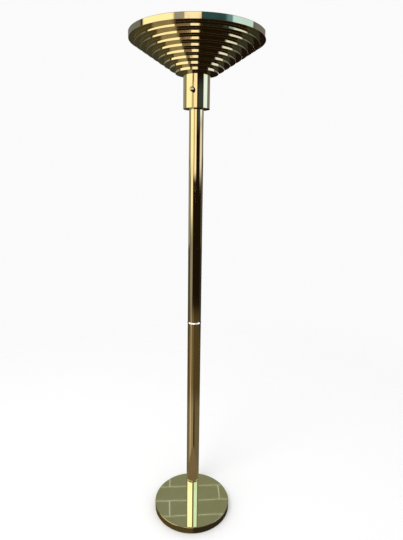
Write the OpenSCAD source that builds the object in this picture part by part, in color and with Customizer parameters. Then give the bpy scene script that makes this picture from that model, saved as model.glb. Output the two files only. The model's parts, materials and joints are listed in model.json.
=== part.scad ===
// Torchiere floor lamp: a stepped metal bowl that throws its light up, a plain
// collar with a rotary dimmer, a two-piece pole and a heavy round base.
// The pole stands near the rear edge of the base. Millimetres, +Z up, front -Y,
// origin at the centre of the base's underside, on the floor.

/* [Base] */
// Outside diameter of the round base
base_d = 300; // [280:2:340]
// Height of the base with its felt pad
base_h = 28; // [25:1:32]
// Thickness of the brass skin of the base
base_skin = 1.5; // [1:0.1:2]
// Thickness of the felt pad under the base
felt_t = 2; // [1.5:0.5:3]
// Radius of the rounded top edge of the base
base_edge_r = 3; // [1.5:0.5:3]

/* [Pole] */
// Outside diameter of the pole
pole_d = 53; // [50:1:56]
// Wall thickness of the pole tubes
pole_wall = 1.5; // [1.2:0.1:2]
// Gap between the pole and the rear edge of the base
pole_inset = 3.5; // [3:0.5:12]
// Height of the underside of the bead ring between the two tubes
bead_z = 752; // [700:1:800]
// Height of the bead ring
bead_h = 7; // [5:0.5:9]

/* [Collar] */
// Outside diameter of the collar under the bowl
collar_d = 96; // [92:1:100]
// Height of the collar's underside above the floor
collar_z = 1560; // [1540:1:1580]
// Height of the collar
collar_h = 116; // [114:1:124]
// Wall thickness of the collar
collar_wall = 1.5; // [1.2:0.1:2]

/* [Bowl] */
// Outside diameter of the bowl at its rim
bowl_d = 472; // [440:2:500]
// Height of the bowl from the collar to its rim
bowl_h = 124; // [116:1:150]
// Diameter of the lowest step of the bowl
last_tier_d = 152; // [120:2:180]
// Height of the plain band round the rim
rim_h = 20; // [16:1:26]
// Number of steps below the rim band
tier_count = 8; // [6:1:10]
// Thickness of the spun metal of the bowl
bowl_wall = 1; // [0.8:0.1:1.5]

/* [Dimmer] */
// Diameter of the dimmer knob
knob_d = 17; // [14:0.5:20]
// Length of the knob
knob_len = 13; // [10:0.5:15]
// Height of the knob above the collar's underside
knob_rise = 58; // [54:1:60]
// How far the knob sits to the left of the front, in degrees
knob_turn = 14; // [0:1:30]

/* [Bulb] */
// Diameter of the bulb's glass
bulb_d = 60; // [50:1:64]
// Height of the bulb's glass above the lampholder
bulb_h = 80; // [70:1:82]

/* [Hidden] */

$fn = 96;
sliver = 0.02;         // cutters pass through a face by this much
past = 1;              // longer cutters run this far beyond the piece

base_r = base_d / 2;
pole_r = pole_d / 2;
pole_bore_r = pole_r - pole_wall;
pole_y = base_r - pole_r - pole_inset;
felt_inset = 4;        // the felt stops short of the base's wall
weight_gap = 0.2;      // between the weight and the skin
foot_flange_r = pole_r + 2;
foot_flange_h = 4;
foot_bevel = 1;
foot_spigot_h = 22;
coupler_reach = 50;    // how far the coupler enters each tube
coupler_wall = 3;

lead_r = 4;            // sheathed supply lead
lead_hole_r = 6;
gland_z = 12;
gland_bore_r = 4.2;
gland_thread_r = 5.5;
gland_flange_r = 7;
gland_flange_h = 2;
gland_len = 10;
gland_nut_r = 8;
gland_nut_h = 2.5;
gland_gap = 0.5;       // round the nut, and between nut and skin
gland_pocket = 12;     // depth of the nut's pocket from the base's wall
duct_r = 6.2;          // drilled way for the lead through the weight
chamber_r = 9;         // wiring chamber where the lead turns up into the pole

bolt_r = 3;
bolt_head_r = 5;
bolt_head_h = 6;
bolt_pitch_r = 17;
bolt_angles = [30, 150, 270];
bolt_well_r = 7;
bolt_well_h = 9;
bolt_washer_r = 6;
bolt_washer_h = 1.2;
bolt_thread_len = 14;  // length of screw inside the pole's foot
bolt_clear = 0.3;
bolt_key_r = 2.9;      // hexagon socket in the head
bolt_key_depth = 3;

collar_r = collar_d / 2;
collar_bore_r = collar_r - collar_wall;
collar_floor = 2;
nipple_r = 8.5;
nipple_bore_r = 6;
plug_h = 30;
nipple_start = 4;      // the nipple starts this far up the plug
nipple_above = 9;      // and ends this far above the yoke's foot
pole_nut_r = 14;
pole_nut_h = 7;

bowl_floor = collar_z + collar_h;
bowl_top = bowl_floor + bowl_h;

yoke_half = 31.5;      // outside half-width of the yoke
yoke_t = 3;
yoke_w = 24;
yoke_bottom = collar_z + collar_floor;
yoke_top = bowl_floor - yoke_t;
earth_screw_z = collar_z + 38;
earth_screw_r = 2;
earth_head_r = 4;
earth_head_h = 2.6;

bowl_r = bowl_d / 2;
tier_step = (bowl_r - last_tier_d / 2) / tier_count;
riser_h = (bowl_top - rim_h - bowl_floor) / tier_count;
hem_r = 1.5;           // hemmed top edge of the bowl
hem_len = 4;           // how far the hem turns down inside
bowl_hole_r = 5.2;

holder_pipe_r = 5;     // threaded pipe that holds bowl and lampholder
holder_pipe_bore_r = 3.5;
bowl_washer_r = 30;
bowl_washer_h = 2;
small_nut_r = 9.2;
small_nut_h = 5;
holder_z = bowl_floor + bowl_wall + bowl_washer_h + small_nut_h;
holder_r = 19;
holder_h = 34;
holder_floor = 4;
shell_r = 13.8;
shell_wall = 0.6;
shell_h = 22;
cap_r = 13;
cap_bore_r = 12.5;
cap_h = 20;
cap_floor = 3;
contact_z = holder_z + holder_floor + 4;   // top of the centre contact
stem_bead_r = 4;       // glass bead that holds the filament
stem_bead_z = holder_z + holder_h + 31;

shaft_r = 3;
shaft_clear = 0.05;
bushing_r = 4;
knob_z = collar_z + knob_rise;
bushing_tip = collar_r + 3;    // distances from the collar's axis along the shaft
dimmer_face = 40;
dimmer_depth = 21;
dimmer_w = 24;
dimmer_h = 28;
dimmer_nut_r = 7;
dimmer_nut_h = 2;
shaft_start = 30;
knob_start = collar_r + 4;
knob_end = knob_start + knob_len;

wire_r = 1.5;
lead_end = 20;         // height of the end of the lead's sheath in the collar

// Routes of the leads, one round-number point after another. The lead's own
// route is measured from the floor and keeps to the pole's axis at y = 120.
lead_bottom = [[0, 141, 12], [0, 134, 12], [0, 127, 14], [0, 121.5, 20],
               [0, 120, 28], [0, 120, 40]];
lead_rise = [for (z = [64 : 32 : collar_z - 8]) [0, 120, z]];
lead_path = concat(lead_bottom, lead_rise, [[0, 120, collar_z + lead_end]]);
// The cores start at the end of the sheath. Their first points are given from
// the pole's axis at the collar's underside, their last from the bowl's underside.
// The line and switched cores turn with the dimmer, whose back is at y = -19.
line_start = [[0, -2, 20], [0, -2, 23], [0, -2.5, 28], [0, -4, 34], [0, -7, 41],
              [0, -11, 47], [0, -15, 51], [0, -19, 51]];
switched_start = [[0, -19, 65], [0, -15, 65], [-1, -11, 70], [-2, -7, 77],
                  [-2, -3, 85], [-2, -1, 93]];
switched_end = [[-1.7, 0, -15], [-1.7, 0, -6], [-1.7, 0, 3], [-1.7, 0, 11], [-1.7, 0, 15]];
neutral_start = [[2, 1, 20], [2, 1, 23], [4, 2, 30], [6, 4, 39], [7, 5, 50],
                 [7, 5, 62], [6, 4, 74], [4, 2, 85], [2.2, 0, 95]];
neutral_end = [[1.7, 0, -12], [1.7, 0, -2], [1.7, 0, 7], [1.9, 0, 11], [3.4, 0, 13],
               [6, 0, 13.8], [9.5, 0, 14.8], [13.4, 0, 16.4]];
earth_start = [[-2, 1, 20], [-2, 1, 23], [-4, 2, 28], [-8, 3, 32.5], [-13, 3, 36],
               [-18, 2, 37.7], [-22, 0, 38], [-25.9, 0, 38]];

brass = "goldenrod";
steel = "silver";
iron = "dimgray";

// --- helpers -------------------------------------------------------------

// A tube standing on z = 0.
module tube(outer_r, inner_r, h) {
    difference() {
        cylinder(r = outer_r, h = h);
        translate([0, 0, -sliver]) cylinder(r = inner_r, h = h + 2 * sliver);
    }
}

// A hexagon nut standing on z = 0; r is half its width across the corners.
module hex_nut(r, bore_r, h) {
    difference() {
        cylinder(r = r, h = h, $fn = 6);
        translate([0, 0, -sliver]) cylinder(r = bore_r, h = h + 2 * sliver);
    }
}

// Places its children on the pole's axis.
module on_pole(z) {
    translate([0, pole_y, z]) children();
}

// Places its children at the three base bolts.
module at_bolts() {
    for (a = bolt_angles)
        translate([bolt_pitch_r * cos(a), bolt_pitch_r * sin(a), 0]) children();
}

// Turns its children so that their +Z runs outward along the dimmer's shaft.
module along_shaft(from_axis) {
    on_pole(knob_z)
        rotate([0, 0, -90 - knob_turn])
            translate([from_axis, 0, 0])
                rotate([0, 90, 0]) children();
}

// Turns its children so that their +Z runs backward through the gland.
module along_gland(y) {
    translate([0, y, gland_z]) rotate([-90, 0, 0]) children();
}

function unit(v) = v / norm(v);
function tangent(p, i) = unit(p[min(i + 1, len(p) - 1)] - p[max(i - 1, 0)]);

// One ring of points round point i of a route; side is never along the route.
function ring(p, i, r, sides, side) =
    let (t = tangent(p, i), u = unit(cross(t, side)), v = cross(t, u))
    [for (k = [0 : sides - 1])
        p[i] + r * (cos(360 * k / sides) * u + sin(360 * k / sides) * v)];

// A round cable swept along a route of points.
module cable(p, r, sides = 8, side = [1, 0, 0]) {
    count = len(p);
    points = [for (i = [0 : count - 1]) each ring(p, i, r, sides, side)];
    walls = [for (i = [0 : count - 2], k = [0 : sides - 1])
        let (a = i * sides + k, b = i * sides + (k + 1) % sides)
        [a, b, b + sides, a + sides]];
    start_cap = [for (k = [0 : sides - 1]) sides - 1 - k];
    end_cap = [for (k = [0 : sides - 1]) (count - 1) * sides + k];
    polyhedron(points, concat(walls, [start_cap, end_cap]), convexity = 4);
}

// --- base ----------------------------------------------------------------

module felt_pad() {
    color("black") cylinder(r = base_r - felt_inset, h = felt_t);
}

module base_cover() {
    inner_r = base_r - base_skin;
    corner_r = base_r - base_edge_r;
    corner_z = base_h - base_edge_r;
    lip_z = felt_t / 2;
    color(brass) difference() {
        rotate_extrude() polygon(concat(
            [[0, base_h - base_skin], [inner_r, base_h - base_skin],
             [inner_r, lip_z], [base_r, lip_z]],
            [for (a = [0 : 15 : 90])
                [corner_r + base_edge_r * cos(a), corner_z + base_edge_r * sin(a)]],
            [[0, base_h]]));
        on_pole(0) {
            cylinder(r = lead_hole_r, h = base_h + past);
            at_bolts() cylinder(r = bolt_r, h = base_h + past);
        }
        along_gland(base_r - 10) cylinder(r = gland_thread_r, h = 20);
    }
}

module base_weight() {
    top = base_h - base_skin;
    color(iron) difference() {
        translate([0, 0, felt_t])
            cylinder(r = base_r - base_skin - weight_gap, h = top - felt_t);
        on_pole(0) {
            translate([0, 0, gland_z - duct_r]) cylinder(r = chamber_r, h = base_h);
            at_bolts() {
                cylinder(r = bolt_r + bolt_clear, h = base_h);
                cylinder(r = bolt_well_r, h = felt_t + bolt_well_h);
            }
        }
        along_gland(pole_y) cylinder(r = duct_r, h = base_r);
        along_gland(base_r - gland_pocket) cylinder(r = gland_nut_r + gland_gap, h = base_r);
    }
}

module cord_gland() {
    thread_start = base_r + gland_flange_h - gland_len;
    color("black") difference() {
        union() {
            along_gland(base_r) cylinder(r = gland_flange_r, h = gland_flange_h);
            along_gland(thread_start) cylinder(r = gland_thread_r, h = gland_len - gland_flange_h);
        }
        along_gland(thread_start - past) cylinder(r = gland_bore_r, h = gland_len + 2 * past);
    }
}

module gland_nut() {
    nut_y = base_r - base_skin - gland_gap - gland_nut_h;
    color("black") along_gland(nut_y) hex_nut(gland_nut_r, gland_thread_r, gland_nut_h);
}

module base_bolts() {
    head_z = felt_t + bolt_well_h - bolt_washer_h - bolt_head_h;
    shank_end = base_h + bolt_thread_len;
    color(steel) on_pole(0) at_bolts() difference() {
        union() {
            translate([0, 0, head_z]) cylinder(r = bolt_head_r, h = bolt_head_h);
            translate([0, 0, head_z]) cylinder(r = bolt_r, h = shank_end - head_z);
        }
        translate([0, 0, head_z - sliver]) cylinder(r = bolt_key_r, h = bolt_key_depth, $fn = 6);
    }
}

module bolt_washers() {
    color(steel) on_pole(felt_t + bolt_well_h - bolt_washer_h) at_bolts()
        tube(bolt_washer_r, bolt_r, bolt_washer_h);
}

// --- pole ----------------------------------------------------------------

module pole_foot() {
    color(brass) on_pole(base_h) difference() {
        union() {
            cylinder(r = foot_flange_r, h = foot_flange_h - foot_bevel);
            translate([0, 0, foot_flange_h - foot_bevel])
                cylinder(r1 = foot_flange_r, r2 = foot_flange_r - foot_bevel, h = foot_bevel);
            cylinder(r = pole_bore_r, h = foot_flange_h + foot_spigot_h);
        }
        translate([0, 0, -sliver])
            cylinder(r = lead_hole_r, h = foot_flange_h + foot_spigot_h + past);
        at_bolts() translate([0, 0, -sliver]) cylinder(r = bolt_r, h = bolt_thread_len + 2 * past);
    }
}

module lower_pole() {
    start = base_h + foot_flange_h;
    color(brass) on_pole(start) tube(pole_r, pole_bore_r, bead_z - start);
}

module pole_coupler() {
    color(steel) on_pole(bead_z - coupler_reach)
        tube(pole_bore_r, pole_bore_r - coupler_wall, 2 * coupler_reach + bead_h);
}

module bead_ring() {
    neck_r = pole_r - 0.2;
    ring_r = pole_r + 1.2;
    color("silver") on_pole(bead_z) rotate_extrude() polygon([
        [pole_bore_r, 0], [neck_r, 0], [ring_r, bead_h / 8], [ring_r, bead_h / 3],
        [neck_r, bead_h], [pole_bore_r, bead_h]]);
}

module upper_pole() {
    start = bead_z + bead_h;
    color(brass) on_pole(start) tube(pole_r, pole_bore_r, collar_z - start);
}

module pole_top_plug() {
    color(steel) on_pole(collar_z - plug_h) tube(pole_bore_r, nipple_r, plug_h);
}

module pole_nipple() {
    start = collar_z - plug_h + nipple_start;
    color(steel) on_pole(start)
        tube(nipple_r, nipple_bore_r, yoke_bottom + yoke_t + nipple_above - start);
}

// --- collar --------------------------------------------------------------

module collar() {
    color(brass) difference() {
        on_pole(collar_z) cylinder(r = collar_r, h = collar_h);
        on_pole(yoke_bottom) cylinder(r = collar_bore_r, h = collar_h);
        on_pole(collar_z - past) cylinder(r = nipple_r, h = collar_floor + 2 * past);
        along_shaft(collar_r - 2 * collar_wall) cylinder(r = bushing_r, h = 4 * collar_wall);
    }
}

// A square strap bent into a closed frame; it ties the pole to the bowl.
module mounting_yoke() {
    color(steel) difference() {
        on_pole((yoke_bottom + bowl_floor) / 2)
            cube([2 * yoke_half, yoke_w, bowl_floor - yoke_bottom], center = true);
        on_pole((yoke_bottom + bowl_floor) / 2)
            cube([2 * (yoke_half - yoke_t), yoke_w + 2 * past, bowl_floor - yoke_bottom - 2 * yoke_t],
                 center = true);
        on_pole(yoke_bottom - past) cylinder(r = nipple_r, h = yoke_t + 2 * past);
        on_pole(yoke_top - past) cylinder(r = holder_pipe_r, h = yoke_t + 2 * past);
        translate([-yoke_half - past, pole_y, earth_screw_z])
            rotate([0, 90, 0]) cylinder(r = earth_screw_r, h = yoke_t + 2 * past);
    }
}

module pole_nut() {
    color(steel) on_pole(yoke_bottom + yoke_t) hex_nut(pole_nut_r, nipple_r, pole_nut_h);
}

module earth_screw() {
    head_x = -yoke_half + yoke_t;
    color("green") translate([head_x, pole_y, earth_screw_z]) rotate([0, 90, 0]) {
        cylinder(r = earth_head_r, h = earth_head_h);
        translate([0, 0, -yoke_t - 2]) cylinder(r = earth_screw_r, h = yoke_t + 3);
    }
}

// --- dimmer --------------------------------------------------------------

module dimmer_body() {
    color("dimgray") along_shaft(dimmer_face - dimmer_depth) difference() {
        translate([-dimmer_h / 2, -dimmer_w / 2, 0]) cube([dimmer_h, dimmer_w, dimmer_depth]);
        translate([0, 0, shaft_start - dimmer_face + dimmer_depth - 0.5])
            cylinder(r = bushing_r, h = dimmer_depth);
    }
}

module dimmer_bushing() {
    bushing_start = shaft_start + 2;
    color(steel) along_shaft(bushing_start)
        tube(bushing_r, shaft_r + shaft_clear, bushing_tip - bushing_start);
}

module dimmer_nut() {
    color(brass) along_shaft(collar_r) hex_nut(dimmer_nut_r, bushing_r, dimmer_nut_h);
}

module dimmer_shaft() {
    color(steel) along_shaft(shaft_start) cylinder(r = shaft_r, h = knob_end - 4 - shaft_start);
}

module dimmer_knob() {
    face_r = knob_d / 2;
    dome = 2.5;        // rise of the domed face
    skirt = knob_len - dome;
    color(brass) along_shaft(knob_start) difference() {
        rotate_extrude() polygon(concat(
            [[0, 0], [face_r - 1, 0], [face_r, 1], [face_r, skirt]],
            [for (a = [15 : 15 : 75]) [face_r * cos(a), skirt + dome * sin(a)]],
            [[0, knob_len]]));
        translate([0, 0, -sliver]) cylinder(r = shaft_r, h = knob_len - 4 + sliver);
    }
}

// --- bowl ----------------------------------------------------------------

// Corners of the stepped outline, from the rim band down to the collar.
function step_corners() = [for (i = [0 : tier_count])
    let (r = bowl_r - i * tier_step, z = bowl_top - rim_h - i * riser_h)
    each [[r, z], [r - tier_step, z]]];

module bowl() {
    outer = step_corners();
    inner = [for (p = outer) p + [-bowl_wall, bowl_wall]];
    rim_z = bowl_top - hem_r;
    hem = [for (a = [0 : 30 : 180]) [bowl_r - hem_r + hem_r * cos(a), rim_z + hem_r * sin(a)]];
    last_inner = len(inner) - 2;
    color(brass) on_pole(0) rotate_extrude() polygon(concat(
        [[bowl_hole_r, bowl_floor]],
        [for (i = [len(outer) - 2 : -1 : 0]) outer[i]],
        hem,
        [[bowl_r - 2 * hem_r, rim_z - hem_len], [bowl_r - bowl_wall, rim_z - hem_len]],
        [for (i = [0 : last_inner]) inner[i]],
        [[bowl_hole_r, bowl_floor + bowl_wall]]));
}

module bowl_washer() {
    color(steel) on_pole(bowl_floor + bowl_wall) tube(bowl_washer_r, holder_pipe_r, bowl_washer_h);
}

module bowl_nut() {
    color(steel) on_pole(holder_z - small_nut_h) hex_nut(small_nut_r, holder_pipe_r, small_nut_h);
}

// --- lampholder and bulb -------------------------------------------------

module holder_nipple() {
    start = yoke_top - small_nut_h - 4;
    color(steel) on_pole(start) tube(holder_pipe_r, holder_pipe_bore_r, holder_z + 3 - start);
}

module holder_nut() {
    color(steel) on_pole(yoke_top - small_nut_h) hex_nut(small_nut_r, holder_pipe_r, small_nut_h);
}

module lampholder() {
    foot_h = 6;
    foot_taper = 4;
    bevel = 1;
    color("white") on_pole(holder_z) difference() {
        union() {
            cylinder(r1 = holder_r - foot_taper, r2 = holder_r, h = foot_h);
            translate([0, 0, foot_h]) cylinder(r = holder_r, h = holder_h - foot_h - bevel);
            translate([0, 0, holder_h - bevel])
                cylinder(r1 = holder_r, r2 = holder_r - bevel, h = bevel);
        }
        translate([0, 0, -sliver]) cylinder(r = holder_pipe_r, h = holder_h);
        translate([0, 0, holder_floor]) cylinder(r = shell_r, h = holder_h);
    }
}

module screw_shell() {
    color("gold") on_pole(holder_z + holder_h - shell_h - 2)
        tube(shell_r, shell_r - shell_wall, shell_h);
}

// A springy strip that stands on the porcelain and reaches over to the middle.
module centre_contact() {
    strip_w = 5;
    strip_t = 0.8;
    strip_len = 13;
    leg_x = -9;
    leg_t = 1.5;
    leg_z = holder_z + holder_floor;
    color("gold") on_pole(0) {
        translate([leg_x, -strip_w / 2, contact_z - strip_t]) cube([strip_len, strip_w, strip_t]);
        translate([leg_x, -strip_w / 2, leg_z]) cube([leg_t, strip_w, contact_z - strip_t - leg_z]);
    }
}

module bulb_cap() {
    color(steel) on_pole(holder_z + holder_h - cap_h) difference() {
        cylinder(r = cap_r, h = cap_h);
        translate([0, 0, cap_floor]) cylinder(r = cap_bore_r, h = cap_h);
    }
}

module bulb_contact() {
    color("black") on_pole(contact_z)
        cylinder(r1 = 4.5, r2 = 11, h = holder_z + holder_h - cap_h - contact_z);
}

// Outline of the glass: a straight neck that swells into a ball.
function glass_outline(wall) =
    let (ball_r = bulb_d / 2 - wall, ball_z = bulb_h - bulb_d / 2,
         neck_r = cap_r - wall, blend = asin(neck_r / ball_r))
    concat([[neck_r, wall > 0 ? -1 : 0], [neck_r, 6], [neck_r + 3, 17]],
           [for (a = [blend + 22 : 10 : 172]) [ball_r * sin(a), ball_z - ball_r * cos(a)]],
           [[0, ball_z + ball_r]]);

module bulb_glass() {
    wall = 0.8;
    color("ivory") on_pole(holder_z + holder_h) difference() {
        rotate_extrude() polygon(concat([[0, 0]], glass_outline(0)));
        rotate_extrude() polygon(concat([[0, -1]], glass_outline(wall)));
    }
}

module bulb_stem() {
    seal_t = 2;
    rod_r = 3;
    start = holder_z + holder_h - cap_h + cap_floor;
    color("lightblue") on_pole(start) {
        cylinder(r = cap_bore_r, h = seal_t);
        cylinder(r = rod_r, h = stem_bead_z - start);
        translate([0, 0, stem_bead_z - start]) sphere(r = stem_bead_r);
    }
}

// A ring of wire on two supports that stand out from the stem's bead.
module filament() {
    wire_r = 0.5;
    ring_r = 11;
    color("gray") on_pole(stem_bead_z) {
        rotate_extrude() translate([ring_r, 0]) circle(r = wire_r, $fn = 16);
        for (side = [-90, 90])
            rotate([0, side, 0])
                translate([0, 0, stem_bead_r]) cylinder(r = wire_r, h = ring_r - stem_bead_r);
    }
}

// --- wiring --------------------------------------------------------------

module supply_lead() {
    color("black") translate([0, pole_y - 120, 0]) cable(lead_path, lead_r, 10);
}

// Raises the points of a route by z.
function raised(p, z) = [for (q = p) q + [0, 0, z]];

// A route that starts near the collar's underside and ends near the bowl's.
function core_route(start, end) = concat(raised(start, collar_z), raised(end, bowl_floor));

module line_wire() {
    color("brown") on_pole(0) rotate([0, 0, -knob_turn])
        cable(core_route(line_start, []), wire_r);
}

module neutral_wire() {
    color("white") on_pole(0)
        cable(core_route(neutral_start, neutral_end), wire_r, side = [0, 1, 0]);
}

module switched_wire() {
    color("red") on_pole(0) rotate([0, 0, -knob_turn])
        cable(core_route(switched_start, switched_end), wire_r);
}

module earth_wire() {
    color("green") on_pole(0) cable(core_route(earth_start, []), wire_r, side = [0, 1, 0]);
}

// --- drawing -------------------------------------------------------------

felt_pad();
base_cover();
base_weight();
cord_gland();
gland_nut();
base_bolts();
bolt_washers();
pole_foot();
lower_pole();
pole_coupler();
bead_ring();
upper_pole();
pole_top_plug();
pole_nipple();
collar();
mounting_yoke();
pole_nut();
dimmer_body();
dimmer_bushing();
dimmer_nut();
dimmer_shaft();
dimmer_knob();
bowl();
bowl_washer();
bowl_nut();
holder_nipple();
holder_nut();
lampholder();
screw_shell();
centre_contact();
bulb_cap();
bulb_contact();
bulb_glass();
bulb_stem();
filament();
supply_lead();
line_wire();
neutral_wire();
switched_wire();
earth_wire();
earth_screw();
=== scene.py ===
"""Looks of the torchiere floor lamp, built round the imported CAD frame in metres: camera, studio, materials,
and finely turned pieces that stand for the CAD nodes that show."""

import json
import math

import bpy
from mathutils import Matrix, Vector


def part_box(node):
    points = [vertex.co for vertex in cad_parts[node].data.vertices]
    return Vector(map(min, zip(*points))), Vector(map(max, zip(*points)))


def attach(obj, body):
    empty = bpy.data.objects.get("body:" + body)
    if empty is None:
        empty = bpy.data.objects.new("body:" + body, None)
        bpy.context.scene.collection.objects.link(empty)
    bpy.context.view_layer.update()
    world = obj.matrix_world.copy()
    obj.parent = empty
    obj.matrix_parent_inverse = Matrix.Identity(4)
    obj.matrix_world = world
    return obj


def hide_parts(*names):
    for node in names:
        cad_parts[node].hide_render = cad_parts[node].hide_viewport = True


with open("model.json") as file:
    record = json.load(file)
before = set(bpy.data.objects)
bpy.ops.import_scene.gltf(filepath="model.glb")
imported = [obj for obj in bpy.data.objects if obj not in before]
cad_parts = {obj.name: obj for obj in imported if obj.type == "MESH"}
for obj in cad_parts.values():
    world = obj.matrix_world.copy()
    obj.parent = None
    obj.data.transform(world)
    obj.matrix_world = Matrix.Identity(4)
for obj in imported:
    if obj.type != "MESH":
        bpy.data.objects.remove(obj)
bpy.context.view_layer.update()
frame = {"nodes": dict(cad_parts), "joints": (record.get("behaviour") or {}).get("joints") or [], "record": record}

MM = 0.001
SLOT_OF = {part["node"]: part["material_slot"] for part in frame["record"]["subparts"]}

# The frame's own sizes, from which every piece is worked out.
BASE_LOW, BASE_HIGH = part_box("base_cover")
POLE_LOW, POLE_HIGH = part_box("lower_pole")
UPPER_LOW, UPPER_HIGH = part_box("upper_pole")
COLLAR_LOW, COLLAR_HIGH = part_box("collar")
BOWL_LOW, BOWL_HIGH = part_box("bowl")
POLE_X = (POLE_LOW.x + POLE_HIGH.x) / 2
POLE_Y = (POLE_LOW.y + POLE_HIGH.y) / 2
BASE_R = (BASE_HIGH.y - BASE_LOW.y) / 2
POLE_R = (POLE_HIGH.y - POLE_LOW.y) / 2
COLLAR_R = (COLLAR_HIGH.x - COLLAR_LOW.x) / 2
BOWL_R = (BOWL_HIGH.y - BOWL_LOW.y) / 2

# Sizes that no node's box gives.
POLE_WALL = 1.5 * MM
TIERS = 8
RIM_H = 20 * MM
LAST_TIER_R = 76 * MM
BOWL_WALL = 1 * MM
HEM_R = 1.5 * MM

# The pole's axis on the floor, and the bowl's stairs.
AXIS = (POLE_X, POLE_Y, 0)
RIM_LOW = BOWL_HIGH.z - RIM_H
TIER_STEP = (BOWL_R - LAST_TIER_R) / TIERS
TIER_RISE = (RIM_LOW - BOWL_LOW.z) / TIERS

DIMMER = next(j for j in frame["joints"] if j["name"] == "dimmer_turn")
SHAFT_POINT = Vector(DIMMER["pos_m"])
SHAFT_OUT = -Vector(DIMMER["axis"])


# --- camera --------------------------------------------------------------

def make_camera():
    """A view from the front, 1.35 m above the floor, looking down and rolled slightly, as in the photo."""
    data = bpy.data.cameras.new("camera")
    data.lens = 28.4
    data.sensor_width = 36.0
    camera = bpy.data.objects.new("camera", data)
    bpy.context.scene.collection.objects.link(camera)
    distance, height, side = 1.616, 1.3545, 0.026
    pitch, roll = 13.40, 0.83
    tilt = Matrix.Rotation(math.radians(90 - pitch), 4, "X")
    spin = Matrix.Rotation(math.radians(roll), 4, "Z")
    camera.matrix_world = Matrix.Translation((side, POLE_Y - distance, height)) @ tilt @ spin
    bpy.context.scene.camera = camera


# --- studio --------------------------------------------------------------

# Colours and brightness of what the polished metal reflects, by direction: azimuth from the camera's side
# (positive to the right) and elevation, both in degrees. Later cards lie over earlier ones.
# name, azimuth from, to, elevation from, to, softness in azimuth, in elevation, colour
CARDS = [
    ("floor far", -200, 200, -30, -19, 1, 1.5, (0.085, 0.06, 0.03)),
    ("floor far left", -100, -8, -30, -19, 4, 1.5, (0.18, 0.13, 0.08)),
    ("floor", -200, 200, -41, -30, 1, 1.5, (0.15, 0.125, 0.10)),
    ("floor left", -85, -4, -41, -30, 6, 2, (0.32, 0.26, 0.19)),
    ("floor seam", 0, 28, -41, -30, 3, 3, (0.065, 0.037, 0.012)),
    ("floor near", -200, 200, -95, -41, 1, 1.5, (0.085, 0.065, 0.03)),
    ("floor near right", 5, 200, -95, -41, 3, 1.5, (0.03, 0.025, 0.015)),
    ("floor strip", -58, -49, -37, -18, 2, 3, (0.80, 0.66, 0.58)),
    ("ceiling", -200, 200, 30, 95, 1, 6, (0.23, 0.26, 0.22)),
    ("ceiling front", -104, 104, 28, 95, 6, 2, (0.22, 0.19, 0.24)),
    ("left side", -200, -104, 1, 13.8, 4, 0.5, (0.30, 0.31, 0.28)),
    ("left side high", -200, -102, 13.8, 32, 3, 0.5, (0.18, 0.19, 0.22)),
    ("left side low", -155, -95, -10.5, 1, 3, 1, (0.30, 0.30, 0.26)),
    ("left side lowest", -155, -82, -22, -10.5, 3, 1, (0.075, 0.07, 0.05)),
    ("right side", 104, 200, 1, 32, 4, 1, (0.18, 0.19, 0.22)),
    ("back window", 151, 177, 2, 26, 2, 2, (0.95, 0.97, 1.05)),
    ("right side low", 98, 155, -10.5, 1, 3, 1, (0.09, 0.09, 0.08)),
    ("right side lowest", 98, 155, -22, -10.5, 3, 1, (0.035, 0.04, 0.04)),
    ("left back", -200, -155, -24, 1, 4, 3, (0.05, 0.048, 0.03)),
    ("dim window", -84, -40, -20, -5, 5, 5, (0.33, 0.29, 0.26)),
    ("low window", -84, -46, -7, 1, 4, 3, (1.25, 1.12, 0.90)),
    ("left window", -96, -35, 0, 28, 3, 2, (1.30, 1.15, 0.88)),
    ("front window", -27, 4, -1, 28, 2, 1, (1.18, 1.02, 0.85)),
    ("gold curtain", -42, -22, -1, 10.3, 2, 0.5, (0.62, 0.52, 0.31)),
    ("brown wall low", -36, -23, 10.4, 13.2, 1.5, 0.2, (0.22, 0.15, 0.09)),
    ("brown wall", -37, -14, 13.2, 15.2, 1.5, 0.2, (0.22, 0.15, 0.09)),
    ("brown wall high", -39, -11, 15.2, 17.0, 1.5, 0.15, (0.20, 0.13, 0.08)),
    ("grey curtain", -36, -19, 17.0, 28, 1.5, 0.15, (0.36, 0.34, 0.40)),
    ("high front window", -19, 7, 17.0, 28, 1.5, 0.15, (1.15, 1.02, 0.92)),
    ("green wall", 15, 63, 5, 10.3, 2, 1, (0.045, 0.055, 0.06)),
    ("teal wall", 9, 38, 17.0, 28, 1, 0.15, (0.03, 0.085, 0.13)),
    ("teal wall far", 38, 50, 16.7, 28, 1, 0.15, (0.03, 0.085, 0.13)),
    ("teal shine", 48, 59, 16.5, 28, 4, 0.15, (0.15, 0.30, 0.45)),
    ("right window", 61, 102, 6, 12, 2, 1, (0.92, 1.12, 1.55)),
    ("right window middle", 66, 99, 11.5, 16.25, 4, 0.2, (0.86, 0.90, 1.05)),
    ("right window high", 58, 102, 16.25, 28, 2, 0.15, (0.60, 0.90, 1.30)),
    ("right window low", 63, 102, -1, 6, 2, 2, (0.88, 0.84, 0.92)),
]
DARK = (0.012, 0.007, 0.004)
PALE = 0.96

# Tiles that the polished base mirrors, laid out on a plane one unit overhead.
TILE_SIZES = {
    "Scale": 1.0,
    "Brick Width": 0.31,
    "Row Height": 0.06,
    "Mortar Size": 0.0017,
    "Mortar Smooth": 0.3,
}
TILE_TURN = math.radians(-4)
TILE_SHIFT = (0.01, -0.038, 0)
TILE_JOINT = (0.55, 0.65, 0.68)
TILES_BEHIND = (140, 160)
TILES_ABOVE = (30, 36)


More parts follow.
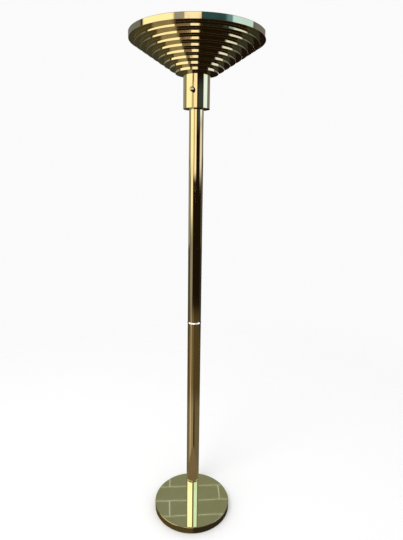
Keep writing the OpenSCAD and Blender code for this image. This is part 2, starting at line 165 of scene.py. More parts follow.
def math_node(tree, operation, a, b=None):
    """One step of arithmetic on numbers or node outputs."""
    node = tree.nodes.new("ShaderNodeMath")
    node.operation = operation
    for socket, value in zip(node.inputs, (a, b)):
        if isinstance(value, (int, float)):
            socket.default_value = value
        elif value is not None:
            tree.links.new(value, socket)
    return node.outputs[0]


def smooth_step(tree, value, low, high):
    """0 below low, 1 above high; the other way round if low is above high."""
    node = tree.nodes.new("ShaderNodeMapRange")
    node.interpolation_type = "SMOOTHSTEP"
    tree.links.new(value, node.inputs["Value"])
    flip = low > high
    node.inputs["From Min"].default_value = min(low, high)
    node.inputs["From Max"].default_value = max(low, high)
    node.inputs["To Min"].default_value = 1.0 if flip else 0.0
    node.inputs["To Max"].default_value = 0.0 if flip else 1.0
    return node.outputs["Result"]


def mix_colour(tree, factor, a, b):
    """Colour a where factor is 0, colour b where it is 1; each may be a constant or a node's output.
    The Mix node keeps its colours in inputs 6 and 7, and the mixed colour in output 2."""
    node = tree.nodes.new("ShaderNodeMix")
    node.data_type = "RGBA"
    for socket, value in ((node.inputs[0], factor), (node.inputs[6], a), (node.inputs[7], b)):
        if isinstance(value, (int, float)):
            socket.default_value = value
        elif isinstance(value, tuple):
            socket.default_value = (*value, 1.0)[:4]
        else:
            tree.links.new(value, socket)
    return node.outputs[2]


def lay_tiles(tree, parts, azimuth, elevation, colour):
    """Pale joints of large tiles overhead, behind the lamp, which the polished base shows."""
    place = tree.nodes.new("ShaderNodeCombineXYZ")
    for name in ("X", "Y"):
        tree.links.new(math_node(tree, "DIVIDE", parts.outputs[name], parts.outputs["Z"]), place.inputs[name])
    turn = tree.nodes.new("ShaderNodeMapping")
    turn.inputs["Rotation"].default_value = (0, 0, TILE_TURN)
    turn.inputs["Location"].default_value = TILE_SHIFT
    tree.links.new(place.outputs[0], turn.inputs["Vector"])
    tiles = tree.nodes.new("ShaderNodeTexBrick")
    for name, value in TILE_SIZES.items():
        tiles.inputs[name].default_value = value
    tree.links.new(turn.outputs[0], tiles.inputs["Vector"])
    behind = smooth_step(tree, math_node(tree, "ABSOLUTE", azimuth), *TILES_BEHIND)
    above = smooth_step(tree, elevation, *TILES_ABOVE)
    joints = math_node(tree, "MULTIPLY", tiles.outputs["Fac"], math_node(tree, "MULTIPLY", behind, above))
    return mix_colour(tree, joints, colour, TILE_JOINT)


def make_world():
    """A plain pale dome for the eye and for soft light; polished metal reflects the cards instead."""
    world = bpy.data.worlds.new("studio")
    world.use_nodes = True
    world.cycles.sampling_method = "NONE"
    bpy.context.scene.world = world
    tree = world.node_tree
    tree.nodes.clear()
    place = tree.nodes.new("ShaderNodeTexCoord").outputs["Generated"]
    parts = tree.nodes.new("ShaderNodeSeparateXYZ")
    tree.links.new(place, parts.inputs[0])
    to_front = math_node(tree, "MULTIPLY", parts.outputs["Y"], -1.0)
    azimuth = math_node(tree, "DEGREES", math_node(tree, "ARCTAN2", parts.outputs["X"], to_front))
    elevation = math_node(tree, "DEGREES", math_node(tree, "ARCSINE", parts.outputs["Z"]))
    colour = DARK
    for _name, az0, az1, el0, el1, az_soft, el_soft, card in CARDS:
        sides = math_node(tree, "MULTIPLY",
                          smooth_step(tree, azimuth, az0 - az_soft, az0 + az_soft),
                          smooth_step(tree, azimuth, az1 + az_soft, az1 - az_soft))
        ends = math_node(tree, "MULTIPLY",
                         smooth_step(tree, elevation, el0 - el_soft, el0 + el_soft),
                         smooth_step(tree, elevation, el1 + el_soft, el1 - el_soft))
        colour = mix_colour(tree, math_node(tree, "MULTIPLY", sides, ends), colour, card)
    colour = lay_tiles(tree, parts, azimuth, elevation, colour)
    path = tree.nodes.new("ShaderNodeLightPath")
    seen = mix_colour(tree, path.outputs["Is Glossy Ray"], (PALE, PALE, PALE), colour)
    background = tree.nodes.new("ShaderNodeBackground")
    output = tree.nodes.new("ShaderNodeOutputWorld")
    tree.links.new(seen, background.inputs["Color"])
    tree.links.new(background.outputs[0], output.inputs["Surface"])


def make_floor():
    """A round pale floor that fades into the pale dome; polished metal doesn't reflect it."""
    mesh = bpy.data.meshes.new("floor")
    radius, count = 3.0, 96
    fade_from, fade_to = 0.5, 2.8
    ring = [(radius * math.cos(math.tau * k / count), radius * math.sin(math.tau * k / count), 0.0)
            for k in range(count)]
    mesh.from_pydata(ring, [], [list(range(count))])
    floor = bpy.data.objects.new("floor", mesh)
    bpy.context.scene.collection.objects.link(floor)
    floor.visible_glossy = False
    material = bpy.data.materials.new("floor")
    material.use_nodes = True
    tree = material.node_tree
    shader = tree.nodes["Principled BSDF"]
    shader.inputs["Base Color"].default_value = (0.93, 0.93, 0.93, 1)
    shader.inputs["Roughness"].default_value = 0.9
    shader.inputs["Specular IOR Level"].default_value = 0.0
    place = tree.nodes.new("ShaderNodeTexCoord")
    length = tree.nodes.new("ShaderNodeVectorMath")
    length.operation = "LENGTH"
    tree.links.new(place.outputs["Object"], length.inputs[0])
    tree.links.new(smooth_step(tree, length.outputs["Value"], fade_to, fade_from), shader.inputs["Alpha"])
    mesh.materials.append(material)


def make_light(name, place, target, width, height, radiance, colour=(1, 1, 1), mirrored_in=None):
    """An area light of the given brightness. Polished metal shows it only on the pieces in mirrored_in."""
    data = bpy.data.lights.new(name, "AREA")
    data.shape = "RECTANGLE"
    data.size, data.size_y = width, height
    data.energy = radiance * math.pi * width * height
    data.color = colour
    light = bpy.data.objects.new(name, data)
    bpy.context.scene.collection.objects.link(light)
    light.location = place
    light.rotation_euler = (Vector(target) - Vector(place)).to_track_quat("-Z", "Y").to_euler()
    light.visible_glossy = mirrored_in is not None
    light.visible_camera = False
    if mirrored_in:
        receivers = bpy.data.collections.new(name + "_receivers")
        for piece in mirrored_in:
            receivers.objects.link(piece)
        light.light_linking.receiver_collection = receivers


def make_front_windows(name, piece, spans, seen_from, elevation, height, radiance=1.0):
    """Windows in front, each between two azimuths, mirrored in one piece only. Their middles stand at the
    elevation in degrees, seen from the height seen_from on the pole's axis."""
    far = 3.0
    centre = Vector((POLE_X, POLE_Y, seen_from))
    rise = far * math.tan(math.radians(elevation))
    for number, (az0, az1, colour) in enumerate(spans):
        middle, half = math.radians((az0 + az1) / 2), math.radians((az1 - az0) / 2)
        place = centre + Vector((far * math.sin(middle), -far * math.cos(middle), rise))
        width = 2 * far * math.tan(half)
        make_light(f"{name}_{number}", place, (centre.x, centre.y, place.z), width, height, radiance, colour,
                   [piece])


# --- materials -----------------------------------------------------------

def new_material(name):
    """A material with its node tree and its shader."""
    material = bpy.data.materials.new(name)
    material.use_nodes = True
    tree = material.node_tree
    return material, tree, tree.nodes["Principled BSDF"]


def noise(tree, scale, detail=4.0, stretch=(1, 1, 1), distortion=0.0):
    """A noise pattern fixed to the object; scale is in cells per metre."""
    place = tree.nodes.new("ShaderNodeTexCoord")
    mapping = tree.nodes.new("ShaderNodeMapping")
    mapping.inputs["Scale"].default_value = stretch
    tree.links.new(place.outputs["Object"], mapping.inputs["Vector"])
    node = tree.nodes.new("ShaderNodeTexNoise")
    node.inputs["Scale"].default_value = scale
    node.inputs["Detail"].default_value = detail
    node.inputs["Distortion"].default_value = distortion
    tree.links.new(mapping.outputs[0], node.inputs["Vector"])
    return node.outputs["Fac"]


def spread(tree, value, low, high, out_low, out_high):
    """Maps a pattern's range low..high to out_low..out_high."""
    node = tree.nodes.new("ShaderNodeMapRange")
    tree.links.new(value, node.inputs["Value"])
    for name, number in (("From Min", low), ("From Max", high), ("To Min", out_low), ("To Max", out_high)):
        node.inputs[name].default_value = number
    return node.outputs["Result"]


def bump(tree, height, distance, below=None):
    """Relief from a pattern, distance metres deep, over the relief below."""
    node = tree.nodes.new("ShaderNodeBump")
    node.inputs["Distance"].default_value = distance
    tree.links.new(height, node.inputs["Height"])
    if below is not None:
        tree.links.new(below, node.inputs["Normal"])
    return node.outputs["Normal"]


def two_tone(tree, shader, pattern, a, b, low=0.35, high=0.65):
    """Base colour that goes from a to b as the pattern goes from low to high."""
    share = spread(tree, pattern, low, high, 0, 1)
    tree.links.new(mix_colour(tree, share, a, b), shader.inputs["Base Color"])


def uneven_sheen(tree, shader, pattern, smooth, rough):
    """Roughness that goes from smooth to rough as the pattern goes from 0.3 to 0.7."""
    tree.links.new(spread(tree, pattern, 0.3, 0.7, smooth, rough), shader.inputs["Roughness"])


PALE_BRASS = (0.90, 0.80, 0.47)
DEEP_BRASS = (0.86, 0.755, 0.42)


def polished_brass(name, wave=0.00012, wave_scale=9.0, stretch=(1, 1, 0.25), haze=(0.035, 0.085)):
    """Lacquered mirror brass: faint waves in the sheet, fine hazy smudges, slightly uneven colour."""
    material, tree, shader = new_material(name)
    shader.inputs["Metallic"].default_value = 1.0
    two_tone(tree, shader, noise(tree, 14, detail=5), PALE_BRASS, DEEP_BRASS)
    smudges = noise(tree, 38, detail=8, distortion=0.6)
    tree.links.new(spread(tree, smudges, 0.45, 0.75, *haze), shader.inputs["Roughness"])
    waves = bump(tree, noise(tree, wave_scale, detail=1.5, stretch=stretch), wave)
    grain_depth = 0.0000015
    tree.links.new(bump(tree, noise(tree, 900, detail=3), grain_depth, waves), shader.inputs["Normal"])
    return material


def plain_metal(name, colour, roughness, grain=500.0, metallic=1.0):
    """Plated, cast or drawn metal with a fine grain and uneven sheen."""
    material, tree, shader = new_material(name)
    shader.inputs["Metallic"].default_value = metallic
    darker = tuple(c * 0.8 for c in colour)
    two_tone(tree, shader, noise(tree, 60, detail=6), colour, darker)
    uneven_sheen(tree, shader, noise(tree, 110, detail=6), roughness * 0.8, roughness * 1.3)
    grain_depth = 0.00003
    tree.links.new(bump(tree, noise(tree, grain, detail=5), grain_depth), shader.inputs["Normal"])
    return material


def moulded(name, colour, roughness, grain=900.0, depth=0.00002, coat=0.0, mottle=0.15):
    """Moulded plastic, porcelain or enamel. Depth is its grain's in metres, coat is how much gloss lies over
    it, and mottle is how far its tone varies."""
    material, tree, shader = new_material(name)
    lighter = tuple(min(1.0, c * (1 + mottle) + 0.02 * mottle) for c in colour)
    two_tone(tree, shader, noise(tree, 30, detail=6), colour, lighter)
    uneven_sheen(tree, shader, noise(tree, 80, detail=6), roughness * 0.8, roughness * 1.25)
    shader.inputs["Coat Weight"].default_value = coat
    shader.inputs["Coat Roughness"].default_value = 0.08
    tree.links.new(bump(tree, noise(tree, grain, detail=4), depth), shader.inputs["Normal"])
    return material


def felt(name):
    """Dense dark felt with a fine nap."""
    material, tree, shader = new_material(name)
    two_tone(tree, shader, noise(tree, 1400, detail=6), (0.012, 0.012, 0.013), (0.05, 0.05, 0.055))
    shader.inputs["Roughness"].default_value = 0.95
    shader.inputs["Sheen Weight"].default_value = 0.5
    shader.inputs["Sheen Roughness"].default_value = 0.5
    nap_depth = 0.0004
    nap = noise(tree, 2200, detail=4, distortion=1.0)
    tree.links.new(bump(tree, nap, nap_depth), shader.inputs["Normal"])
    return material


def glass(name, roughness, colour, clear=1.0):
    """Glass; clear below 1 lets an etched or powdered skin hide part of what is behind."""
    material, tree, shader = new_material(name)
    shader.inputs["Transmission Weight"].default_value = clear
    shader.inputs["IOR"].default_value = 1.45
    darker = tuple(c * 0.97 for c in colour)
    two_tone(tree, shader, noise(tree, 50, detail=4), colour, darker, 0.3, 0.7)
    uneven_sheen(tree, shader, noise(tree, 260, detail=5), roughness * 0.85, roughness * 1.2)
    return material


MATERIALS = {
    "felt": felt("felt"),
    "polished_brass": polished_brass("polished_brass"),
    "base_brass": polished_brass("base_brass", wave=0.00005, haze=(0.015, 0.04)),
    "bowl_brass": polished_brass("bowl_brass", wave=0.00008, wave_scale=14, stretch=(1, 1, 1)),
    "knob_brass": polished_brass("knob_brass", wave=0.00001, wave_scale=90, stretch=(1, 1, 1)),
    "ring_nickel": plain_metal("ring_nickel", (0.95, 0.93, 0.88), 0.16),
    # Painted shade: a near-black brown that the knob's sides and dome rim wear in place of the dark surroundings
    # their polished brass would mirror.
    "knob_painted_shade": plain_metal("knob_painted_shade", (0.06, 0.035, 0.018), 0.3, grain=1500),
    "cast_iron": plain_metal("cast_iron", (0.10, 0.10, 0.105), 0.7, grain=250, metallic=0.7),
    "plated_steel": plain_metal("plated_steel", (0.60, 0.60, 0.58), 0.3),
    "contact_brass": plain_metal("contact_brass", (0.78, 0.60, 0.30), 0.28),
    "bulb_aluminium": plain_metal("bulb_aluminium", (0.77, 0.77, 0.76), 0.32),
    "tungsten": plain_metal("tungsten", (0.30, 0.29, 0.28), 0.35),
    "earth_green": plain_metal("earth_green", (0.05, 0.33, 0.10), 0.35, metallic=0.2),
    "black_plastic": moulded("black_plastic", (0.02, 0.02, 0.022), 0.45),
    "dimmer_case": moulded("dimmer_case", (0.035, 0.035, 0.04), 0.35),
    "porcelain": moulded("porcelain", (0.86, 0.85, 0.81), 0.12, grain=200, coat=0.6, mottle=0.03),
    "bulb_insulator": moulded("bulb_insulator", (0.03, 0.03, 0.035), 0.15, grain=300, depth=0.00001,
                              coat=0.5),
    "frosted_glass": glass("frosted_glass", 0.42, (0.97, 0.97, 0.95), 0.45),
    "clear_glass": glass("clear_glass", 0.04, (0.95, 0.97, 0.96)),
    "lead_sheath": moulded("lead_sheath", (0.03, 0.028, 0.025), 0.5),
    "wire_black": moulded("wire_black", (0.02, 0.02, 0.02), 0.45),
    "wire_white": moulded("wire_white", (0.80, 0.80, 0.77), 0.45),
    "wire_red": moulded("wire_red", (0.50, 0.03, 0.02), 0.45),
    "wire_green": moulded("wire_green", (0.04, 0.30, 0.07), 0.45),
}
ENAMEL = moulded("bowl_enamel", (0.80, 0.79, 0.75), 0.32, grain=350, depth=0.00003, coat=0.25,
                 mottle=0.03)


def finish_cad_nodes():
    """Gives every carried-over CAD node the material of its slot."""
    for name, node in frame["nodes"].items():
        node.data.materials.clear()
        node.data.materials.append(MATERIALS[SLOT_OF[name]])


# --- turned pieces -------------------------------------------------------

FILLET_STEPS = 6
ON_AXIS = 1e-6


def rounded(corners, closed):
    """Rounds an outline's corners (r, z, fillet) and returns points (r, z, normal r, normal z).
    The outline runs with the solid on its left, so normals point to its right."""
    points = []
    count = len(corners)
    for i, (r, z, fillet) in enumerate(corners):
        here = Vector((r, z))
        ends = not closed and i in (0, count - 1)
        before = here - Vector(corners[i - 1][:2])
        after = Vector(corners[(i + 1) % count][:2]) - here
        if ends:
            along = (after if i == 0 else before).normalized()
            points.append((r, z, along.y, -along.x))
            continue
        before.normalize()
        after.normalize()
        turn = math.atan2(before.x * after.y - before.y * after.x, before.dot(after))
        inset = fillet * math.tan(abs(turn) / 2)
        side = 1 if turn > 0 else -1
        first = math.atan2(-before.x, before.y)
        start = here - before * inset
        middle = start - side * fillet * Vector((math.cos(first), math.sin(first)))
        for k in range(FILLET_STEPS + 1):
            a = first + turn * k / FILLET_STEPS
            n = Vector((math.cos(a), math.sin(a)))
            p = middle + side * fillet * n
            points.append((p.x, p.y, n.x, n.y))
    return points


def link(name, mesh, place):
    """An object of the mesh, whose points are moved to their place."""
    mesh.transform(place)
    piece = bpy.data.objects.new(name, mesh)
    bpy.context.scene.collection.objects.link(piece)
    return piece


def revolved(name, outline, segments, closed, ripple=None):
    """Revolves an outline (r, z) about Z. Ripple(r, z, angle) may change the radius round the turn."""
    verts, rings = [], []
    for r, z in outline:
        if r < ON_AXIS:
            rings.append([len(verts)] * segments)
            verts.append((0.0, 0.0, z))
            continue
        rings.append(list(range(len(verts), len(verts) + segments)))
        for k in range(segments):
            angle = math.tau * k / segments
            radius = ripple(r, z, angle) if ripple else r
            verts.append((radius * math.cos(angle), radius * math.sin(angle), z))
    faces = []
    for i in range(len(rings) if closed else len(rings) - 1):
        a, b = rings[i], rings[(i + 1) % len(rings)]
        for k in range(segments):
            n = (k + 1) % segments
            corners = (a[k], a[n], b[n], b[k])
            distinct = [v for j, v in enumerate(corners) if v not in corners[:j]]
            if len(distinct) > 2:
                faces.append(distinct)
    mesh = bpy.data.meshes.new(name)
    mesh.from_pydata(verts, [], faces)
    mesh.polygons.foreach_set("use_smooth", [True] * len(faces))
    return mesh


def spun(name, outline, place, material, segments=96, closed=True, ripple=None, sharp=40):
    """A revolved solid from plain points (r, z), smooth but for edges sharper than sharp degrees."""
    mesh = revolved(name, outline, segments, closed, ripple)
    mesh.materials.append(material)
    mesh.set_sharp_from_angle(angle=math.radians(sharp))
    return link(name, mesh, place)


def turned(name, corners, centre, material, segments=192, closed=True, lining=None, inner=None):
    """A revolved solid with rounded corners (r, z, fillet) and true mirror normals.
    The lining is the material where inner(r, z) is true."""
    outline = rounded(corners, closed)
    mesh = revolved(name, [(r, z) for r, z, _nr, _nz in outline], segments, closed)
    mesh.materials.append(material)
    if lining:
        mesh.materials.append(lining)
    if inner:
        for face in mesh.polygons:
            points = [mesh.vertices[v].co for v in face.vertices]
            r = sum(math.hypot(p.x, p.y) for p in points) / len(points)
            face.material_index = 1 if inner(r, sum(p.z for p in points) / len(points)) else 0
    normals = []
    for r, _z, nr, nz in outline:
        if r < ON_AXIS:
            normals.append((0.0, 0.0, 1.0 if nz > 0 else -1.0))
            continue
        for k in range(segments):
            angle = math.tau * k / segments
            normals.append((nr * math.cos(angle), nr * math.sin(angle), nz))
    mesh.normals_split_custom_set_from_vertices(normals)
    return link(name, mesh, Matrix.Translation(centre))


def stand_for(piece, *nodes, body="lamp"):
    """The piece rides the body and replaces its CAD nodes, which it hides."""
    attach(piece, body)
    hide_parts(*nodes)
    return piece


def make_base():
    """The base's brass skin, whose lower edge is turned in over the weight, and the felt pad under it."""
    low, high = BASE_LOW.z, BASE_HIGH.z
    skin, lip, lip_h, edge = 1.5 * MM, 4 * MM, 0.8 * MM, 3 * MM
    inside = BASE_R - skin
    corners = [(0, high - skin, 0), (inside, high - skin, 0.3 * MM), (inside, low + lip_h, 0.3 * MM),
               (BASE_R - lip, low + lip_h, 0.2 * MM), (BASE_R - lip, low, 0.2 * MM), (BASE_R, low, 1.2 * MM),
               (BASE_R, high, edge), (0, high, 0)]
    cover = turned("base_cover", corners, (0, 0, 0), MATERIALS["base_brass"], 320, closed=False)
    stand_for(cover, "base_cover")
    felt_low, felt_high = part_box("felt_pad")
    felt_r = (felt_high.y - felt_low.y) / 2
    corners = [(0, felt_low.z, 0), (felt_r, felt_low.z, 0.6 * MM), (felt_r, felt_high.z, 0.4 * MM),
               (0, felt_high.z, 0)]
    stand_for(turned("felt_pad", corners, (0, 0, 0), MATERIALS["felt"], 256, closed=False), "felt_pad")


def make_foot():
    """The pole's foot: a low flange on the base and a spigot inside the tube."""
    low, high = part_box("pole_foot")
    flange_r, spigot_r, bore, flange_top = (high.y - low.y) / 2, POLE_R - POLE_WALL, 6 * MM, POLE_LOW.z
    corners = [(bore, low.z, 0.3 * MM), (flange_r, low.z, 0.3 * MM), (flange_r, flange_top, 1.4 * MM),
               (spigot_r, flange_top, 0.2 * MM), (spigot_r, high.z, 1 * MM), (bore, high.z, 0.4 * MM)]
    stand_for(turned("pole_foot", corners, AXIS, MATERIALS["polished_brass"]), "pole_foot")


def make_tube(name, low, high):
    """One of the pole's two tubes."""
    bore, edge = POLE_R - POLE_WALL, 0.35 * MM
    corners = [(bore, low.z, edge), (POLE_R, low.z, edge), (POLE_R, high.z, edge), (bore, high.z, edge)]
    return stand_for(turned(name, corners, AXIS, MATERIALS["polished_brass"], 160), name)


def make_ring():
    """The thin ring between the tubes, widest near its foot."""
    low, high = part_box("bead_ring")
    ring_r, height = (high.y - low.y) / 2, high.z - low.z
    bore, neck = POLE_R - POLE_WALL, POLE_R - 0.2 * MM
    corners = [(bore, low.z, 0.2 * MM), (neck, low.z, 0.2 * MM), (ring_r, low.z + 0.1 * height, 0.5 * MM),
               (ring_r, low.z + 0.3 * height, 1.5 * MM), (neck, high.z, 0.2 * MM), (bore, high.z, 0.2 * MM)]
    return stand_for(turned("bead_ring", corners, AXIS, MATERIALS["ring_nickel"], 160), "bead_ring")


def make_pole():
    """The pole, and the windows that only its lower tube and its ring mirror."""
    make_foot()
    lower = make_tube("lower_pole", POLE_LOW, POLE_HIGH)
    make_tube("upper_pole", UPPER_LOW, UPPER_HIGH)
    ring = make_ring()
    lemon, mint, white = (1.15, 1.50, 2.1), (0.63, 1.17, 1.95), (1, 1, 1)
    spans = [(-112, -50, lemon), (-50, -4, lemon), (26, 60, mint), (60, 98, mint)]
    make_front_windows("pole_window", lower, spans, POLE_LOW.z, 42, 2.6)
    spans = [(-100, -30, white), (-30, 40, white), (40, 110, white)]
    make_front_windows("ring_window", ring, spans, UPPER_LOW.z, 16, 1.6, 0.95)


def make_collar():
    """The plain cup under the bowl, with a hole for the nipple in its floor."""
    wall, floor, hole = 1.5 * MM, 2 * MM, 8.5 * MM
    low, high = COLLAR_LOW.z, COLLAR_HIGH.z
    corners = [(hole, low, 0.2 * MM), (COLLAR_R, low, 0.9 * MM), (COLLAR_R, high, 0.4 * MM),
               (COLLAR_R - wall, high, 0.4 * MM), (COLLAR_R - wall, low + floor, 0.8 * MM),
               (hole, low + floor, 0.3 * MM)]
    stand_for(turned("collar", corners, AXIS, MATERIALS["polished_brass"], 256), "collar")


def bowl_corners():
    """The stepped outline of the bowl, from its centre hole round the hem and back inside."""
    hole, hole_edge = 5.2 * MM, 0.2 * MM
    corner, crease, crease_inside = 0.9 * MM, 0.6 * MM, 0.5 * MM
    stairs = []
    for tier in range(TIERS + 1):
        r, z = BOWL_R - tier * TIER_STEP, RIM_LOW - tier * TIER_RISE
        stairs += [(r, z), (r - TIER_STEP, z)]
    stairs = stairs[:-1]
    outside = [(r, z, crease if k % 2 else corner) for k, (r, z) in enumerate(stairs)]
    inside = [(r - BOWL_WALL, z + BOWL_WALL, crease_inside) for r, z in stairs]
    top, hem_in, hem_low = BOWL_HIGH.z, BOWL_R - 2 * HEM_R, BOWL_HIGH.z - HEM_R - 4 * MM
    hem = [(BOWL_R, top, 1.4 * MM), (hem_in, top, 1.4 * MM), (hem_in, hem_low, 0.4 * MM),
           (BOWL_R - BOWL_WALL, hem_low, 0.3 * MM)]
    first, last = (hole, BOWL_LOW.z, hole_edge), (hole, BOWL_LOW.z + BOWL_WALL, hole_edge)
    return [first] + outside[::-1] + hem + inside + [last]


def enamelled(r, z):
    """Whether a point of the bowl's skin is on its inside, below the hem."""
    if r > BOWL_R - 0.6 * BOWL_WALL or z > BOWL_HIGH.z - HEM_R - 3.5 * MM:
        return False
    slack = 1e-3
    tier = min(TIERS, max(0, math.ceil((RIM_LOW - z) / TIER_RISE - slack)))
    within = r < BOWL_R - tier * TIER_STEP - 0.5 * BOWL_WALL
    above = z > RIM_LOW - tier * TIER_RISE + 0.5 * BOWL_WALL
    return within and above


def make_bowl():
    """The stepped bowl, brass outside and white enamel inside."""
    piece = turned("bowl", bowl_corners(), AXIS, MATERIALS["bowl_brass"], 320, lining=ENAMEL, inner=enamelled)
    stand_for(piece, "bowl")


# --- small turned pieces -------------------------------------------------

def on_axis(z):
    """Moves a piece to the pole's axis, z above the floor."""
    return Matrix.Translation((POLE_X, POLE_Y, z))


def hexagon(across_corners):
    """A ripple that cuts a turned blank to a hexagon, so that its corners stay chamfered."""
    flat = across_corners / 2 * math.cos(math.pi / 6)

    def ripple(r, _z, angle):
        turn = (angle + math.pi / 6) % (math.pi / 3) - math.pi / 6
        return min(r, flat / math.cos(math.pi / 6 - abs(turn)))
    return ripple


def nut_outline(r, bore, height):
    """Blank of a nut on z = 0 with chamfered corners and a countersunk bore."""
    across, down, sink = 0.14 * r, 0.08 * r, 0.06 * r
    return [(bore, sink), (bore + sink, 0), (r - across, 0), (r, down), (r, height - down),
            (r - across, height), (bore + sink, height), (bore, height - sink)]


def make_nut(node, r, height, bore, place):
    """A hexagon nut of radius r over its corners."""
    nut = spun(node, nut_outline(r, bore, height), place, MATERIALS[SLOT_OF[node]], 120,
               ripple=hexagon(2 * r), sharp=25)
    stand_for(nut, node)


def make_bowl_fixing():
    """The washer and the nut that hold the bowl down on the collar."""
    bore = 5 * MM
    low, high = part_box("bowl_washer")
    r = (high.x - low.x) / 2
    corners = [(bore, low.z, 0.1 * MM), (r, low.z, 0.3 * MM), (r, high.z, 0.7 * MM), (bore, high.z, 0.4 * MM)]
    stand_for(turned("bowl_washer", corners, AXIS, MATERIALS["plated_steel"]), "bowl_washer")
    low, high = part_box("bowl_nut")
    make_nut("bowl_nut", (high.x - low.x) / 2, high.z - low.z, bore, on_axis(low.z))


def make_lampholder():
    """Glazed porcelain with a waisted foot, a groove below the mouth and a rolled lip."""
    low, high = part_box("lampholder")
    r, top = (high.x - low.x) / 2, high.z
    bore, mouth, floor = 5 * MM, 13.8 * MM, low.z + 4 * MM
    foot_r, foot_top, groove_r = r - 4 * MM, low.z + 6 * MM, r - 1.2 * MM
    corners = [(bore, low.z, 0.3 * MM), (foot_r, low.z, 1 * MM), (r, foot_top, 2 * MM),
               (r, top - 9 * MM, 0.8 * MM), (groove_r, top - 8 * MM, 0.5 * MM),
               (groove_r, top - 7 * MM, 0.5 * MM), (r, top - 6 * MM, 0.8 * MM), (r, top, 1.8 * MM),
               (mouth, top, 0.9 * MM), (mouth, floor, 0.6 * MM), (bore, floor, 0.3 * MM)]
    stand_for(turned("lampholder", corners, AXIS, MATERIALS["porcelain"], 128), "lampholder")


def thread(pitch, depth):
    """A ripple that rolls a round screw thread into a sleeve."""
    def ripple(r, z, angle):
        return r - depth / 2 * (1 - math.cos(math.tau * z / pitch - angle))
    return ripple


def make_threads():
    """The lampholder's brass shell and the bulb's cap, with their rolled threads."""
    pitch, depth, count = 3.6 * MM, 0.35 * MM, 60
    cap_floor, cap_bevel = 1 * MM, 2 * MM
    for node, wall in (("screw_shell", 0.3 * MM), ("bulb_cap", 0.4 * MM)):
        low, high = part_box(node)
        r, height = (high.x - low.x) / 2, high.z - low.z
        heights = [height * k / count for k in range(count + 1)]
        outline = [(r, z) for z in heights] + [(r - wall, z) for z in reversed(heights)]
        if node == "bulb_cap":
            outline = [(0, 0), (r - cap_bevel, 0)] + [(r, z) for z in heights[2:]]
            outline += [(r - wall, height), (r - wall, cap_floor), (0, cap_floor)]
        piece = spun(node, outline, on_axis(low.z), MATERIALS[SLOT_OF[node]], 72,
                     closed=node == "screw_shell", ripple=thread(pitch, depth))
        stand_for(piece, node)


def glass_outline(r, height, neck, wall):
    """Half outline of the bulb's glass, from its neck up to its crown: a ball that flows into the neck."""
    ball, middle, ball_steps, sleeve_steps = r - wall, height - r, 40, 12
    join = math.radians(52)
    top = [(ball * math.sin(a), middle - ball * math.cos(a))
           for a in (join + (math.pi - join) * k / ball_steps for k in range(ball_steps + 1))]
    (join_r, join_z), slope = top[0], math.tan(math.pi / 2 - join)
    top[-1] = (0.0, top[-1][1])
    fullness = 0.75
    sleeve = []
    for k in range(sleeve_steps):
        t = k / sleeve_steps
        radius = neck - wall + (join_r - neck + wall) * (3 * t * t - 2 * t ** 3)
        radius += join_z / slope * fullness * (t ** 3 - t * t)
        sleeve.append((radius, join_z * t))
    return sleeve + top


def make_bulb():
    """The bulb's glass, an even skin."""
    low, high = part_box("bulb_glass")
    r, height = (high.x - low.x) / 2, high.z - low.z
    neck, wall = 13 * MM, 0.8 * MM
    outline = glass_outline(r, height, neck, 0) + glass_outline(r, height, neck, wall)[::-1]
    piece = spun("bulb_glass", outline, on_axis(low.z), MATERIALS["frosted_glass"], 96)
    stand_for(piece, "bulb_glass")


def make_gland():
    """The moulded inlet for the supply cord, in the base's rear wall."""
    low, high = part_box("cord_gland")
    length, flange_r = high.y - low.y, (high.x - low.x) / 2
    bore, body_r, flange_h = 4.2 * MM, 5.5 * MM, 2 * MM
    shoulder = length - flange_h
    corners = [(bore, 0, 0.3 * MM), (body_r, 0, 0.5 * MM), (body_r, shoulder, 0.1 * MM),
               (flange_r, shoulder, 0.2 * MM), (flange_r, length, 0.9 * MM), (bore, length, 0.8 * MM)]
    piece = turned("cord_gland", corners, (0, 0, 0), MATERIALS["black_plastic"], 96)
    middle = Matrix.Translation(((low.x + high.x) / 2, low.y, (low.z + high.z) / 2))
    piece.data.transform(middle @ Matrix.Rotation(-math.pi / 2, 4, "X"))
    stand_for(piece, "cord_gland")


# --- dimmer --------------------------------------------------------------

def along_shaft(distance):
    """Turns +Z outward along the dimmer's shaft, from a distance in front of the collar's axis."""
    turn = SHAFT_OUT.to_track_quat("Z", "Y").to_matrix().to_4x4()
    return Matrix.Translation(SHAFT_POINT + SHAFT_OUT * distance) @ turn


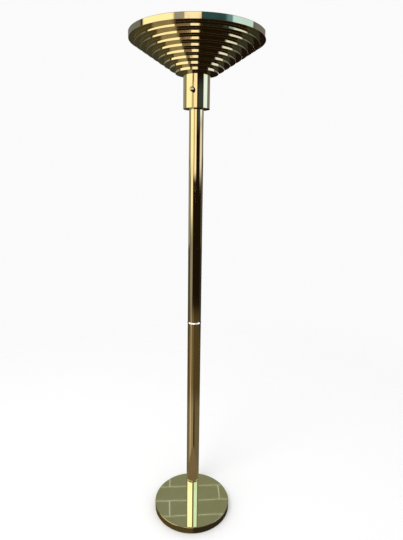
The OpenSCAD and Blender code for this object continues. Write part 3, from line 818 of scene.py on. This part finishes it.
def make_dimmer():
    """The dimmer's nut on the collar, and its fluted brass knob round a polished button; its sides and the rim of
    its dome are painted near black, a painted reflection of dark surroundings that narrows the button's highlight.
    """
    nut_r, nut_h, bushing_r = 7 * MM, 2 * MM, 4 * MM
    make_nut("dimmer_nut", nut_r, nut_h, bushing_r, along_shaft(COLLAR_R))
    knob_r, knob_len, knob_start = 8.5 * MM, 13 * MM, COLLAR_R + 4 * MM
    shaft_r, shaft_depth = 3 * MM, 9 * MM
    flutes, flute_depth, flute_low, flute_high = 40, 0.45 * MM, 1.6 * MM, 9.6 * MM
    run_out, ease = 0.2 * MM, 0.4 * MM
    plain_r, dome_h, button_r = knob_r - 0.35 * MM, 2.5 * MM, knob_r - 3 * MM

    def fluted(r, z, angle):
        if r < knob_r - 0.1 * MM or not flute_low < z < flute_high:
            return r
        return r - flute_depth * abs(math.sin(flutes * angle / 2))

    low_edge, high_edge, skirt = flute_low - run_out, flute_high + run_out, knob_len - dome_h
    outline = [(0, shaft_depth), (shaft_r, shaft_depth), (shaft_r, 0), (knob_r - 1.6 * MM, 0),
               (knob_r - 0.9 * MM, 0.2 * MM), (knob_r - 0.4 * MM, 0.7 * MM), (plain_r, low_edge),
               (knob_r, low_edge + ease), (knob_r, (low_edge + high_edge) / 2), (knob_r, high_edge - ease),
               (plain_r, high_edge), (plain_r, skirt)]
    outline += [(plain_r * math.cos(a), skirt + dome_h * math.sin(a))
                for a in (math.radians(degrees) for degrees in range(8, 88, 8))]
    outline += [(0, knob_len)]
    knob = spun("dimmer_knob", outline, along_shaft(knob_start), MATERIALS["knob_brass"], flutes * 8,
                closed=False, ripple=fluted, sharp=32)
    knob.data.materials.append(MATERIALS["knob_painted_shade"])
    # Faces outside the button and beyond the knob's foot take the near-black painted shade, a painted reflection
    # that leaves only the button's highlight bright.
    for face in knob.data.polygons:
        off_axis = (face.center - SHAFT_POINT).cross(SHAFT_OUT).length
        reach = (face.center - SHAFT_POINT).dot(SHAFT_OUT) - knob_start
        if off_axis > button_r and reach > 0:
            face.material_index = 1
    stand_for(knob, "dimmer_knob", body="dimmer_rotor")


bpy.context.scene.view_settings.view_transform = "Standard"
make_camera()
make_world()
make_floor()
make_light("key", place=(-1.4, -1.6, 3.2), target=(0, 0.05, 0.6), width=1.6, height=1.6, radiance=3.7)
finish_cad_nodes()
make_base()
make_pole()
make_collar()
make_bowl()
make_bowl_fixing()
make_lampholder()
make_threads()
make_bulb()
make_gland()
make_dimmer()
